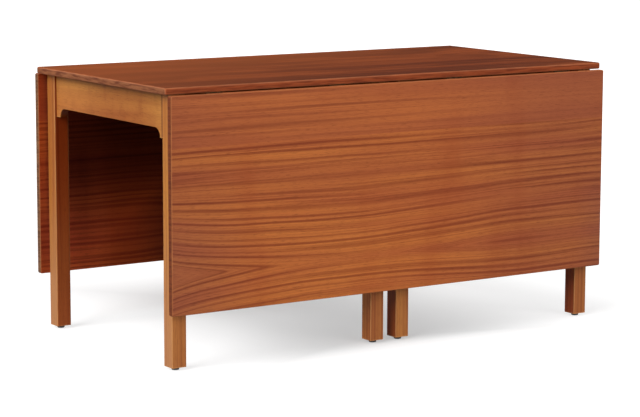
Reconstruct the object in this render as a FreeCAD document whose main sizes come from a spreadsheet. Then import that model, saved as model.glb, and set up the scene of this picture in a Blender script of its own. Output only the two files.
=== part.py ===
import FreeCAD, Part
import os

# A gate-leg table with two drop leaves, shown folded: a fixed top on four corner legs,
# a leaf hanging at the front and one at the back, and four gates that swing out under the
# leaves when those are raised. Millimetres. The origin is on the floor under the middle of
# the table, X runs along the table, Y from front to back and Z up.

SIZES = {
    # overall
    "table_height": 719.0,
    "top_length": 1397.0,
    "top_width": 700.0,
    "board_thickness": 18.0,
    "leaf_drop": 552.0,
    "leaf_end_inset": 5.0,
    # edges of the boards
    "lipping_width": 16.0,
    "top_corner_round": 5.0,
    "top_edge_round": 4.5,
    "top_under_round": 4.5,
    "leaf_corner_round": 5.0,
    "leaf_edge_round": 2.5,
    # leaf hinges
    "joint_gap": 0.3,
    "hinge_overhang": 1.1,
    "hinge_end_distance": 140.5,
    "hinge_spacing": 370.0,
    "hinge_length": 50.0,
    "flap_width": 28.0,
    "flap_thickness": 1.4,
    "knuckle_diameter": 3.4,
    "knuckle_clearance": 0.2,
    "hinge_pin_diameter": 1.7,
    "pin_clearance": 0.05,
    "flap_screw_diameter": 3.0,
    "flap_screw_head": 6.0,
    "flap_screw_length": 12.0,
    # legs and glides
    "leg_width": 42.0,
    "leg_edge_round": 2.5,
    "leg_end_inset": 24.0,
    "leg_side_inset": 14.5,
    "glide_diameter": 20.0,
    "glide_height": 8.0,
    "glide_edge_round": 2.0,
    "glide_nail_diameter": 4.0,
    "glide_nail_length": 16.0,
    # end aprons, rails and the blocks in their corners
    "apron_thickness": 22.0,
    "apron_setback": 6.0,
    "apron_height": 90.0,
    "bracket_drop": 24.5,
    "bracket_step": 22.0,
    "tenon_length": 18.0,
    "tenon_thickness": 10.0,
    "tenon_shoulder": 12.0,
    "side_rail_thickness": 22.0,
    "side_rail_height": 90.0,
    "cross_rail_thickness": 22.0,
    "cross_rail_height": 60.0,
    "corner_block_side": 48.0,
    "corner_block_nose": 2.0,
    "corner_block_height": 60.0,
    "top_screw_diameter": 5.0,
    "top_screw_head": 9.0,
    "top_screw_head_height": 3.0,
    "top_screw_bite": 10.0,
    # gates
    "gate_leg_side_inset": 22.0,
    "gate_leg_spacing": 40.0,
    "gate_leg_top_gap": 0.5,
    "gate_gap": 1.0,
    "gate_rail_thickness": 30.0,
    "gate_rail_height": 72.0,
    "gate_rail_drop": 10.0,
    "gate_hinge_distance": 75.0,
    "gate_finger_gap": 0.5,
    "gate_cove_gap": 0.5,
    "gate_pin_diameter": 8.0,
    # cuts run past the wood by this much
    "overrun": 2.0,
}

# Shares of the sizes they multiply.
FLAP_SCREW_ALONG_SHARES = (-0.34, 0.0, 0.34)
FLAP_SCREW_ACROSS_SHARES = (0.68, 0.82, 0.68)
ROUND_LIMIT_SHARE = 0.9
TOP_SCREW_PLACE_SHARE = 0.3
MATCH_SHARE = 1e-6
HINGE_KNUCKLES = 5
GATE_FINGERS = 5

doc = FreeCAD.newDocument("drop_leaf_table")
sheet = doc.addObject("Spreadsheet::Sheet", "dims")
for row, (alias, value) in enumerate(SIZES.items(), start=1):
    sheet.set(f"A{row}", alias)
    sheet.set(f"B{row}", str(value))
    sheet.setAlias(f"B{row}", alias)
doc.recompute()

# Places that several pieces share, as distances from the middle of the table or the floor.
TOP = "dims.table_height"
UNDERSIDE = "(dims.table_height - dims.board_thickness)"
END = "(dims.top_length / 2)"
EDGE = "(dims.top_width / 2)"
PIN_DROP = "(dims.knuckle_diameter / 2 + dims.knuckle_clearance)"
PIN_Y = f"({EDGE} + dims.hinge_overhang)"
PIN_Z = f"({UNDERSIDE} - {PIN_DROP})"
LEAF_IN = f"({PIN_Y} + {PIN_DROP})"
LEAF_OUT = f"({LEAF_IN} + dims.board_thickness)"
LEAF_TOP = f"({PIN_Z} + dims.hinge_overhang - dims.joint_gap)"
LEAF_BOTTOM = f"({LEAF_TOP} - dims.leaf_drop)"
LEAF_END = f"({END} - dims.leaf_end_inset)"
LEG_END = f"({END} - dims.leg_end_inset)"
LEG_END_IN = f"({LEG_END} - dims.leg_width)"
LEG_SIDE = f"({EDGE} - dims.leg_side_inset)"
LEG_SIDE_IN = f"({LEG_SIDE} - dims.leg_width)"
APRON_OUT = f"({LEG_END} - dims.apron_setback)"
APRON_IN = f"({APRON_OUT} - dims.apron_thickness)"
APRON_BOTTOM = f"({UNDERSIDE} - dims.apron_height)"
BRACKET_BOTTOM = f"({APRON_BOTTOM} - dims.bracket_drop)"
GATE_SIDE = f"({EDGE} - dims.gate_leg_side_inset)"
GATE_IN = f"({GATE_SIDE} - dims.leg_width)"
GATE_OUT = f"({GATE_IN} + dims.gate_rail_thickness)"
RAIL_OUT = f"({GATE_IN} - dims.gate_gap)"
RAIL_IN = f"({RAIL_OUT} - dims.side_rail_thickness)"
GATE_PIN_X = f"({LEG_END_IN} - dims.gate_hinge_distance)"
GATE_PIN_Y = f"({GATE_IN} + dims.gate_rail_thickness / 2)"
GATE_TOP = f"({UNDERSIDE} - dims.gate_rail_drop)"
GATE_BOTTOM = f"({GATE_TOP} - dims.gate_rail_height)"
GATE_LEG_IN = "(dims.gate_leg_spacing / 2)"
GATE_LEG_OUT = f"({GATE_LEG_IN} + dims.leg_width)"

X_AXIS = FreeCAD.Vector(1, 0, 0)
Y_AXIS = FreeCAD.Vector(0, 1, 0)
Z_AXIS = FreeCAD.Vector(0, 0, 1)
QUARTER_TURN = 90
EIGHTH_TURN = 45
THIRD_TURN = 120


def move(item, x, y, z):
    """Bind an object's place to expressions."""
    item.setExpression("Placement.Base.x", x)
    item.setExpression("Placement.Base.y", y)
    item.setExpression("Placement.Base.z", z)


def box(name, x_span, y_span, z_span):
    """A block between two places on each axis."""
    item = doc.addObject("Part::Box", name)
    for size, (low, high) in zip(("Length", "Width", "Height"), (x_span, y_span, z_span)):
        item.setExpression(size, f"({high}) - ({low})")
    move(item, x_span[0], y_span[0], z_span[0])
    return item


def cylinder(name, diameter, length, start, axis=Z_AXIS):
    """A round bar that starts at a place and runs along an axis."""
    item = doc.addObject("Part::Cylinder", name)
    item.setExpression("Radius", f"({diameter}) / 2")
    item.setExpression("Height", length)
    item.Placement.Rotation = FreeCAD.Rotation(Z_AXIS, axis)
    move(item, *start)
    return item


def cone(name, first_diameter, last_diameter, length, start, axis=Z_AXIS):
    """A tapered bar that starts at a place and runs along an axis."""
    item = doc.addObject("Part::Cone", name)
    item.setExpression("Radius1", f"({first_diameter}) / 2")
    item.setExpression("Radius2", f"({last_diameter}) / 2")
    item.setExpression("Height", length)
    item.Placement.Rotation = FreeCAD.Rotation(Z_AXIS, axis)
    move(item, *start)
    return item


def wedge(name, first, last, depth_span, rotation):
    """A prism whose width runs from one span to another as it goes along its own Y."""
    item = doc.addObject("Part::Wedge", name)
    for prop, value in (("Ymin", first[0]), ("Xmin", first[1]), ("Xmax", first[2]),
                        ("Ymax", last[0]), ("X2min", last[1]), ("X2max", last[2]),
                        ("Zmin", depth_span[0]), ("Zmax", depth_span[1]),
                        ("Z2min", depth_span[0]), ("Z2max", depth_span[1])):
        item.setExpression(prop, value)
    item.Placement.Rotation = rotation
    return item


def fuse(name, *pieces):
    """Several pieces joined into one."""
    item = doc.addObject("Part::MultiFuse", name)
    item.Shapes = list(pieces)
    return item


def cut(name, base, *tools):
    """A piece with one or more tools taken away."""
    item = doc.addObject("Part::Cut", name)
    item.Base = base
    item.Tool = tools[0] if len(tools) == 1 else fuse(f"{name}_tools", *tools)
    return item


def common(name, base, tool):
    """The part of a piece that lies inside a tool."""
    item = doc.addObject("Part::Common", name)
    item.Base = base
    item.Tool = tool
    return item


def group(name, *pieces):
    """Separate solids kept together under one name."""
    item = doc.addObject("Part::Compound", name)
    item.Links = list(pieces)
    return item


def mirror(name, source, normal):
    """The same piece on the other side of the table's middle."""
    item = doc.addObject("Part::Mirroring", name)
    item.Source = source
    item.Normal = normal
    return item


def to_right(name, source):
    return mirror(name, source, X_AXIS)


def to_back(name, source):
    return mirror(name, source, Y_AXIS)


def slab(name, x_span, y_span, z_span):
    """A body that starts as a block, ready to have its edges rounded."""
    body = doc.addObject("PartDesign::Body", name)
    block = body.newObject("PartDesign::AdditiveBox", f"{name}_block")
    for size, (low, high) in zip(("Length", "Width", "Height"), (x_span, y_span, z_span)):
        block.setExpression(size, f"({high}) - ({low})")
    move(body, x_span[0], y_span[0], z_span[0])
    body.Tip = block
    return body


def round_edges(body, radius, chosen):
    """Round the edges of a body's last feature that a test chooses."""
    doc.recompute()
    base = body.Tip
    limits = base.Shape.BoundBox
    close = limits.DiagonalLength * MATCH_SHARE
    names = []
    for number, edge in enumerate(base.Shape.Edges, start=1):
        if chosen(edge.BoundBox, limits, close):
            names.append(f"Edge{number}")
    item = body.newObject("PartDesign::Fillet", f"{base.Name}_round")
    item.Base = (base, names)
    item.setExpression("Radius", radius)
    body.Tip = item
    return body


def upright(edge, limits, close):
    return abs(edge.ZLength - limits.ZLength) < close


def crosswise(edge, limits, close):
    return abs(edge.YLength - limits.YLength) < close


def on_top(edge, limits, close):
    return abs(edge.ZMin - limits.ZMax) < close


def underneath(edge, limits, close):
    return abs(edge.ZMax - limits.ZMin) < close


def on_faces(edge, limits, close):
    return abs(edge.YMin - limits.YMax) < close or abs(edge.YMax - limits.YMin) < close


def limited(radius, *walls):
    """A rounding that never takes more than its walls can give."""
    allowed = "; ".join(f"{wall} * {ROUND_LIMIT_SHARE}" for wall in walls)
    return f"min({radius}; {allowed})"


# Hinges of the front leaf, left half. Each is a pair of flaps let into the undersides of top and
# leaf, with knuckles in turn on a pin just outside the edge of the top. The leaf hangs, so its flap
# stands upright.
hinge_places = {
    "outer": f"(-({END} - dims.hinge_end_distance))",
    "inner": f"(-({END} - dims.hinge_end_distance - dims.hinge_spacing))",
}
KNUCKLE_PITCH = f"(dims.hinge_length / {HINGE_KNUCKLES})"
PIN_BORE = "(dims.hinge_pin_diameter + 2 * dims.pin_clearance)"
FLAP_TIP_TOP = f"({PIN_Y} - dims.flap_width)"
FLAP_TIP_LEAF = f"({PIN_Z} - dims.flap_width)"
left_hinges = {key: [] for key in ("top_flaps", "leaf_flaps", "pins", "top_screws", "leaf_screws",
                                   "top_pockets", "leaf_pockets")}
for place, middle in hinge_places.items():
    start = f"({middle} - dims.hinge_length / 2)"
    x_span = (start, f"({middle} + dims.hinge_length / 2)")

    screws = {"top": [], "leaf": []}
    for number, along in enumerate(FLAP_SCREW_ALONG_SHARES):
        across = f"(dims.flap_width * {FLAP_SCREW_ACROSS_SHARES[number]})"
        x = f"({middle} + dims.hinge_length * {along})"
        shank_length = "dims.flap_screw_length - dims.flap_thickness"
        for side, head_at, shank_at, axis in (
                ("top",
                 (x, f"-({PIN_Y} - {across})", UNDERSIDE),
                 (x, f"-({PIN_Y} - {across})", f"{UNDERSIDE} + dims.flap_thickness"), Z_AXIS),
                ("leaf",
                 (x, f"-{LEAF_IN}", f"{PIN_Z} - {across}"),
                 (x, f"-({LEAF_IN} + dims.flap_thickness)", f"{PIN_Z} - {across}"), -Y_AXIS)):
            name = f"{place}_{side}_screw_{number}"
            head = cone(f"{name}_head", "dims.flap_screw_head", "dims.flap_screw_diameter",
                        "dims.flap_thickness", head_at, axis)
            shank = cylinder(f"{name}_shank", "dims.flap_screw_diameter", shank_length, shank_at, axis)
            screws[side].append(fuse(name, head, shank))

    plates = {
        "top": box(f"{place}_top_plate", x_span, (f"-{EDGE}", f"-{FLAP_TIP_TOP}"),
                   (UNDERSIDE, f"{UNDERSIDE} + dims.flap_thickness")),
        "leaf": box(f"{place}_leaf_plate", x_span,
                    (f"-({LEAF_IN} + dims.flap_thickness)", f"-{LEAF_IN}"), (FLAP_TIP_LEAF, LEAF_TOP)),
    }
    necks = {
        "top": ((f"-{EDGE}", f"-({EDGE} - dims.knuckle_diameter)"), (PIN_Z, UNDERSIDE)),
        "leaf": ((f"-{LEAF_IN}", f"-{PIN_Y}"), (f"{PIN_Z} - dims.knuckle_diameter", PIN_Z)),
    }
    pieces = {"top": [plates["top"]], "leaf": [plates["leaf"]]}
    for number in range(HINGE_KNUCKLES):
        side = "leaf" if number % 2 else "top"
        low = f"({start} + {KNUCKLE_PITCH} * {number} + dims.knuckle_clearance / 2)"
        high = f"({start} + {KNUCKLE_PITCH} * {number + 1} - dims.knuckle_clearance / 2)"
        name = f"{place}_{side}_knuckle_{number}"
        pieces[side].append(cylinder(name, "dims.knuckle_diameter", f"{high} - {low}",
                                     (low, f"-{PIN_Y}", PIN_Z), X_AXIS))
        pieces[side].append(box(f"{name}_neck", (low, high), *necks[side]))
    pin = cylinder(f"{place}_pin", "dims.hinge_pin_diameter", "dims.hinge_length",
                   (start, f"-{PIN_Y}", PIN_Z), X_AXIS)
    bore = cylinder(f"{place}_bore", PIN_BORE, "dims.hinge_length + 2 * dims.overrun",
                    (f"{start} - dims.overrun", f"-{PIN_Y}", PIN_Z), X_AXIS)
    for side, in_bore in (("top", pin), ("leaf", bore)):
        blank = fuse(f"{place}_{side}_flap_blank", *pieces[side])
        left_hinges[f"{side}_flaps"].append(cut(f"{place}_{side}_flap", blank, in_bore, *screws[side]))
        left_hinges[f"{side}_screws"] += screws[side]
    left_hinges["pins"].append(pin)
    left_hinges["top_pockets"].append(
        box(f"{place}_top_pocket", x_span, (f"-({EDGE} + dims.overrun)", f"-{FLAP_TIP_TOP}"),
            (f"{UNDERSIDE} - dims.overrun", f"{UNDERSIDE} + dims.flap_thickness")))
    left_hinges["leaf_pockets"].append(
        box(f"{place}_leaf_pocket", x_span,
            (f"-({LEAF_IN} + dims.flap_thickness)", f"-({LEAF_IN} - dims.overrun)"),
            (FLAP_TIP_LEAF, f"{LEAF_TOP} + dims.overrun")))

# The left half of each set, the whole front set, and the back set.
front_names = {"top_flaps": "front_top_flaps", "leaf_flaps": "front_leaf_flaps", "pins": "front_hinge_pins",
               "top_screws": "front_top_flap_screws", "leaf_screws": "front_leaf_flap_screws",
               "top_pockets": "front_top_pockets", "leaf_pockets": "front_leaf_pockets"}
front = {}
back = {}
for key, name in front_names.items():
    left_half = group(f"{name}_left", *left_hinges[key])
    right_half = to_right(f"{name}_right", left_half)
    front[key] = group(name, left_half, right_half)
    back[key] = to_back(name.replace("front", "back"), front[key])

# The fixed top: a veneered board with solid lippings mitred round it.
top_panel = slab("top_panel", (f"-{END}", END), (f"-{EDGE}", EDGE), (UNDERSIDE, TOP))
round_edges(top_panel, "dims.top_corner_round", upright)
round_edges(top_panel, limited("dims.top_edge_round", "dims.top_corner_round",
                               "dims.board_thickness / 2"), on_top)
round_edges(top_panel, limited("dims.top_under_round", "dims.top_corner_round",
                               "dims.board_thickness / 2"), underneath)

corner_block_place = f"(dims.corner_block_side * {TOP_SCREW_PLACE_SHARE})"
TOP_SCREW_X = f"(-({APRON_IN} - {corner_block_place}))"
TOP_SCREW_Y = f"(-({RAIL_IN} - {corner_block_place}))"
CORNER_BLOCK_BOTTOM = f"({UNDERSIDE} - dims.corner_block_height)"
top_screw = fuse(
    "corner_top_screw",
    cylinder("corner_top_screw_shank", "dims.top_screw_diameter",
             "dims.corner_block_height + dims.top_screw_bite",
             (TOP_SCREW_X, TOP_SCREW_Y, CORNER_BLOCK_BOTTOM)),
    cylinder("corner_top_screw_head", "dims.top_screw_head", "dims.top_screw_head_height",
             (TOP_SCREW_X, TOP_SCREW_Y, f"{CORNER_BLOCK_BOTTOM} - dims.top_screw_head_height")))
front_top_screws = group("front_corner_top_screws", top_screw, to_right("right_corner_top_screw", top_screw))
back_top_screws = to_back("back_corner_top_screws", front_top_screws)
group("top_screws", front_top_screws, back_top_screws)

top_core = box("top_core", (f"-({END} - dims.lipping_width)", f"{END} - dims.lipping_width"),
               (f"-({EDGE} - dims.lipping_width)", f"{EDGE} - dims.lipping_width"), (UNDERSIDE, TOP))
cut("top_board", top_core, front["top_pockets"], front["top_screws"], back["top_pockets"],
    back["top_screws"], front_top_screws, back_top_screws)

over_thickness = (f"{UNDERSIDE} - dims.overrun", f"{TOP} + dims.overrun")
no_turn = FreeCAD.Rotation()
front_mitre = wedge("top_front_mitre",
                    (f"-({EDGE} + dims.overrun)", f"-({END} + dims.overrun)", f"{END} + dims.overrun"),
                    (f"-({EDGE} - dims.lipping_width)", f"-({END} - dims.lipping_width)",
                     f"{END} - dims.lipping_width"), over_thickness, no_turn)
left_mitre = wedge("top_left_mitre",
                   (f"-({END} + dims.overrun)", f"-({EDGE} + dims.overrun)", f"{EDGE} + dims.overrun"),
                   (f"-({END} - dims.lipping_width)", f"-({EDGE} - dims.lipping_width)",
                    f"{EDGE} - dims.lipping_width"), over_thickness,
                   FreeCAD.Rotation(Z_AXIS, -QUARTER_TURN))
front_strip = common("top_front_strip", top_panel, front_mitre)
top_front = cut("top_front_lipping", front_strip, front["top_pockets"], front["top_screws"])
to_back("top_back_lipping", top_front)
left_strip = common("top_left_lipping", top_panel, left_mitre)
to_right("top_right_lipping", left_strip)

# The front leaf, hanging: the same make as the top. Its upper edge is the hinged one.
leaf_panel = slab("leaf_panel", (f"-{LEAF_END}", LEAF_END), (f"-{LEAF_OUT}", f"-{LEAF_IN}"),
                  (LEAF_BOTTOM, LEAF_TOP))
round_edges(leaf_panel, "dims.leaf_corner_round", crosswise)
round_edges(leaf_panel, limited("dims.leaf_edge_round", "dims.leaf_corner_round",
                                "dims.board_thickness / 2"), on_faces)
leaf_core = box("leaf_core", (f"-({LEAF_END} - dims.lipping_width)", f"{LEAF_END} - dims.lipping_width"),
                (f"-{LEAF_OUT}", f"-{LEAF_IN}"),
                (f"{LEAF_BOTTOM} + dims.lipping_width", f"{LEAF_TOP} - dims.lipping_width"))
front_board = cut("front_leaf_board", leaf_core, front["leaf_pockets"], front["leaf_screws"])

wide = (f"-({LEAF_END} + dims.overrun)", f"{LEAF_END} + dims.overrun")
narrow = (f"-({LEAF_END} - dims.lipping_width)", f"{LEAF_END} - dims.lipping_width")
over_leaf = (f"{LEAF_IN} - dims.overrun", f"{LEAF_OUT} + dims.overrun")
stood_up = FreeCAD.Rotation(X_AXIS, QUARTER_TURN)
hinge_mitre = wedge("leaf_hinge_mitre", (f"{LEAF_TOP} - dims.lipping_width", *narrow),
                    (f"{LEAF_TOP} + dims.overrun", *wide), over_leaf, stood_up)
free_mitre = wedge("leaf_free_mitre", (f"{LEAF_BOTTOM} - dims.overrun", *wide),
                   (f"{LEAF_BOTTOM} + dims.lipping_width", *narrow), over_leaf, stood_up)
end_mitre = wedge("leaf_end_mitre",
                  (f"-({LEAF_END} + dims.overrun)", f"{LEAF_BOTTOM} - dims.overrun",
                   f"{LEAF_TOP} + dims.overrun"),
                  (f"-({LEAF_END} - dims.lipping_width)", f"{LEAF_BOTTOM} + dims.lipping_width",
                   f"{LEAF_TOP} - dims.lipping_width"),
                  (f"-({LEAF_OUT} + dims.overrun)", f"-({LEAF_IN} - dims.overrun)"),
                  FreeCAD.Rotation(X_AXIS + Y_AXIS + Z_AXIS, -THIRD_TURN))
hinge_strip = common("front_leaf_hinge_strip", leaf_panel, hinge_mitre)
front_leaf = {
    "board": front_board,
    "hinge_lipping": cut("front_leaf_hinge_lipping", hinge_strip, front["leaf_pockets"],
                         front["leaf_screws"]),
    "free_lipping": common("front_leaf_free_lipping", leaf_panel, free_mitre),
    "left_lipping": common("front_leaf_left_lipping", leaf_panel, end_mitre),
}
front_leaf["right_lipping"] = to_right("front_leaf_right_lipping", front_leaf["left_lipping"])
for piece, source in front_leaf.items():
    to_back(f"back_leaf_{piece}", source)

# The left end apron, tenoned into its legs. Its lower edge drops to a bracket beside each leg
# by a quarter round hollow.
apron_half = LEG_SIDE_IN
hollow_place = f"({apron_half} - dims.bracket_step - dims.bracket_drop)"
apron_x = (f"-{APRON_OUT}", f"-{APRON_IN}")
apron_cut_x = (f"-({APRON_OUT} + dims.overrun)", f"-({APRON_IN} - dims.overrun)")
apron_plank = box("left_apron_plank", apron_x, (f"-{apron_half}", apron_half), (BRACKET_BOTTOM, UNDERSIDE))
apron_gap = box("left_apron_gap", apron_cut_x, (f"-{hollow_place}", hollow_place),
                (f"{BRACKET_BOTTOM} - dims.overrun", APRON_BOTTOM))
apron_hollows = [
    cylinder(f"left_apron_hollow_{side}", "2 * dims.bracket_drop", "dims.apron_thickness + 2 * dims.overrun",
             (apron_cut_x[0], place, BRACKET_BOTTOM), X_AXIS)
    for side, place in (("front", f"-{hollow_place}"), ("back", hollow_place))]
apron_shaped = cut("left_apron_shaped", apron_plank, apron_gap, *apron_hollows)
apron_middle = f"(-({APRON_OUT} - dims.apron_thickness / 2))"
apron_tenon = box("left_apron_front_tenon",
                  (f"{apron_middle} - dims.tenon_thickness / 2", f"{apron_middle} + dims.tenon_thickness / 2"),
                  (f"-({apron_half} + dims.tenon_length)", f"-{apron_half}"),
                  (f"{APRON_BOTTOM} + dims.tenon_shoulder", f"{UNDERSIDE} - dims.tenon_shoulder"))
left_apron = fuse("left_apron", apron_shaped, apron_tenon, to_back("left_apron_back_tenon", apron_tenon))
to_right("right_apron", left_apron)

# The side rails run between the end aprons, behind the gates, with a cross rail at mid length.
side_rail = box("front_side_rail", (f"-{APRON_IN}", APRON_IN), (f"-{RAIL_OUT}", f"-{RAIL_IN}"),
                (f"{UNDERSIDE} - dims.side_rail_height", UNDERSIDE))
to_back("back_side_rail", side_rail)
box("cross_rail", ("-dims.cross_rail_thickness / 2", "dims.cross_rail_thickness / 2"),
    (f"-{RAIL_IN}", RAIL_IN), (f"{UNDERSIDE} - dims.cross_rail_height", UNDERSIDE))

# Three-cornered blocks glued where apron and side rail meet; the top is screwed on through them.
block_prism = wedge("corner_block_prism",
                    (f"-{RAIL_IN}", f"-{APRON_IN}", f"-({APRON_IN} - dims.corner_block_side)"),
                    (f"-({RAIL_IN} - dims.corner_block_side)", f"-{APRON_IN}",
                     f"-({APRON_IN} - dims.corner_block_nose)"),
                    (CORNER_BLOCK_BOTTOM, UNDERSIDE), no_turn)
corner_block = cut("front_left_corner_block", block_prism, top_screw)
front_blocks = group("front_corner_blocks", corner_block, to_right("front_right_corner_block", corner_block))
group("corner_blocks", front_blocks, to_back("back_corner_blocks", front_blocks))


def glide(name, x, y):
    """A round foot with the nail that holds it under a leg; returns both."""
    body = doc.addObject("PartDesign::Body", f"{name}_foot")
    disc = body.newObject("PartDesign::AdditiveCylinder", f"{name}_disc")
    disc.setExpression("Radius", "dims.glide_diameter / 2")
    disc.setExpression("Height", "dims.glide_height")
    move(body, x, y, "0")
    body.Tip = disc
    round_edges(body, limited("dims.glide_edge_round", "dims.glide_height"), underneath)
    nail = cylinder(f"{name}_nail", "dims.glide_nail_diameter", "dims.glide_nail_length",
                    (x, y, "dims.glide_height"))
    return fuse(name, body, nail), nail


def leg(name, x_span, y_span, top, *tools):
    """A square leg with softened edges, cut for what is let into it."""
    body = slab(f"{name}_square", x_span, y_span, ("dims.glide_height", top))
    round_edges(body, limited("dims.leg_edge_round", "dims.leg_width / 2"), upright)
    return cut(name, body, *tools)


# Corner legs.
corner_glide, corner_nail = glide("front_left_corner_glide", f"-({LEG_END} - dims.leg_width / 2)",
                                  f"-({LEG_SIDE} - dims.leg_width / 2)")
front_glides = group("front_corner_glides", corner_glide, to_right("front_right_corner_glide", corner_glide))
group("corner_glides", front_glides, to_back("back_corner_glides", front_glides))
corner_leg = leg("front_left_leg", (f"-{LEG_END}", f"-{LEG_END_IN}"), (f"-{LEG_SIDE}", f"-{LEG_SIDE_IN}"),
                 UNDERSIDE, corner_nail, apron_tenon)
front_right_leg = to_right("front_right_leg", corner_leg)
to_back("back_left_leg", corner_leg)
to_back("back_right_leg", front_right_leg)

# The front left gate. Its rail turns on a wooden knuckle: the fingers of rail and block are in turn,
# rounded about the pin, and their outer corners are bevelled so that the rail can stand at a right
# angle to the block.
FINGER_PITCH = f"(dims.gate_rail_height / {GATE_FINGERS})"
COVE = "(dims.gate_rail_thickness + 2 * dims.gate_cove_gap)"
gate_pin_place = (f"-{GATE_PIN_X}", f"-{GATE_PIN_Y}")
gate_z = (GATE_BOTTOM, GATE_TOP)
bevel = box("gate_bevel", ("0", "dims.gate_rail_thickness"), ("0", "dims.gate_rail_thickness"),
            (f"{GATE_BOTTOM} - dims.overrun", f"{GATE_TOP} + dims.overrun"))
bevel.Placement.Rotation = FreeCAD.Rotation(Z_AXIS, -QUARTER_TURN - EIGHTH_TURN)
move(bevel, *gate_pin_place, f"{GATE_BOTTOM} - dims.overrun")
block_fingers = []
rail_fingers = []
block_coves = []
rail_coves = []
for number in range(GATE_FINGERS):
    low = f"({GATE_BOTTOM} + {FINGER_PITCH} * {number})"
    if number % 2:
        rail_fingers.append(cylinder(f"gate_rail_finger_{number}", "dims.gate_rail_thickness", FINGER_PITCH,
                                     (*gate_pin_place, low)))
        block_coves.append(cylinder(f"gate_block_cove_{number}", COVE, FINGER_PITCH, (*gate_pin_place, low)))
    else:
        block_fingers.append(cylinder(f"gate_block_finger_{number}", "dims.gate_rail_thickness", FINGER_PITCH,
                                      (*gate_pin_place, low)))
        rail_coves.append(cylinder(f"gate_rail_cove_{number}", COVE,
                                   f"{FINGER_PITCH} + 2 * dims.gate_finger_gap",
                                   (*gate_pin_place, f"{low} - dims.gate_finger_gap")))
gate_pin = cylinder("front_left_gate_pin", "dims.gate_pin_diameter", "dims.gate_rail_height",
                    (*gate_pin_place, GATE_BOTTOM))
gate_bore = cylinder("gate_pin_bore", "dims.gate_pin_diameter + 2 * dims.pin_clearance",
                     "dims.gate_rail_height + 2 * dims.overrun",
                     (*gate_pin_place, f"{GATE_BOTTOM} - dims.overrun"))

block_blank = box("gate_block_blank", (f"-{LEG_END_IN}", f"-{GATE_PIN_X}"),
                  (f"-{GATE_OUT}", f"-{RAIL_OUT}"), gate_z)
block_bevelled = cut("gate_block_bevelled", block_blank, bevel)
block_fingered = fuse("gate_block_fingered", block_bevelled, *block_fingers)
gate_block = cut("front_left_gate_block", block_fingered, *block_coves, gate_pin)

rail_blank = box("gate_rail_blank", (f"-{GATE_PIN_X}", f"-{GATE_LEG_OUT}"),
                 (f"-{GATE_OUT}", f"-{GATE_IN}"), gate_z)
rail_bevelled = cut("gate_rail_bevelled", rail_blank, bevel)
rail_tenon = box("gate_rail_tenon", (f"-{GATE_LEG_OUT}", f"-({GATE_LEG_OUT} - dims.tenon_length)"),
                 (f"-({GATE_PIN_Y} + dims.tenon_thickness / 2)", f"-({GATE_PIN_Y} - dims.tenon_thickness / 2)"),
                 (f"{GATE_BOTTOM} + dims.tenon_shoulder", f"{GATE_TOP} - dims.tenon_shoulder"))
rail_fingered = fuse("gate_rail_fingered", rail_bevelled, rail_tenon, *rail_fingers)
gate_rail = cut("front_left_gate_rail", rail_fingered, *rail_coves, gate_bore)

gate_glide, gate_nail = glide("front_left_gate_glide", f"-({GATE_LEG_IN} + dims.leg_width / 2)",
                              f"-({GATE_SIDE} - dims.leg_width / 2)")
gate_leg = leg("front_left_gate_leg", (f"-{GATE_LEG_OUT}", f"-{GATE_LEG_IN}"),
               (f"-{GATE_SIDE}", f"-{GATE_IN}"),
               f"{UNDERSIDE} - dims.gate_leg_top_gap", gate_nail, rail_tenon)
for piece, source in (("block", gate_block), ("pin", gate_pin), ("rail", gate_rail),
                      ("leg", gate_leg), ("glide", gate_glide)):
    front_right = to_right(f"front_right_gate_{piece}", source)
    to_back(f"back_left_gate_{piece}", source)
    to_back(f"back_right_gate_{piece}", front_right)

nodes = ["top_board", "top_front_lipping", "top_back_lipping", "top_left_lipping", "top_right_lipping",
         "left_apron", "right_apron", "front_side_rail", "back_side_rail", "cross_rail",
         "corner_blocks", "top_screws", "corner_glides"]
for side in ("front", "back"):
    nodes += [f"{side}_left_leg", f"{side}_right_leg"]
    nodes += [f"{side}_top_flaps", f"{side}_hinge_pins", f"{side}_top_flap_screws"]
    nodes += [f"{side}_leaf_{piece}" for piece in ("board", "hinge_lipping", "free_lipping", "left_lipping",
                                                   "right_lipping", "flaps", "flap_screws")]
    for end in ("left", "right"):
        nodes += [f"{side}_{end}_gate_{piece}" for piece in ("block", "pin", "rail", "leg", "glide")]

doc.recompute()
for item in doc.Objects:
    if "Invalid" in item.State or "Error" in item.State:
        raise RuntimeError(f"{item.Name} failed: {item.State}")
for name in nodes:
    item = doc.getObject(name)
    item.Label = name
    if item.Shape.isNull() or not item.Shape.isValid() or not item.Shape.Solids:
        raise RuntimeError(f"{name} has no sound shape")

os.makedirs("parts", exist_ok=True)
for name in nodes:
    shape = doc.getObject(name).Shape
    shape.exportStep(f"parts/{name}.step")
    print(name, len(shape.Solids), round(shape.Volume))
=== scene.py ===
# %% [markdown]
# # A mahogany drop-leaf table, dressed for a studio picture
#
# The real object is a narrow fixed table with two long leaves. Each leaf hangs
# on brass hinges, and swings up to lie level with the top, where two gate legs
# turn out on wooden hinges to carry it. The shapes come finished from the CAD
# model, with one object for each piece of wood and each set of small fittings.
# This lesson gives them light and finishes. All the woods are worked out from
# nodes instead of pictures of wood, because a figure that is a function of place
# runs through the whole plank: it stays right on every face, at any size and
# however close one looks.

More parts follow.
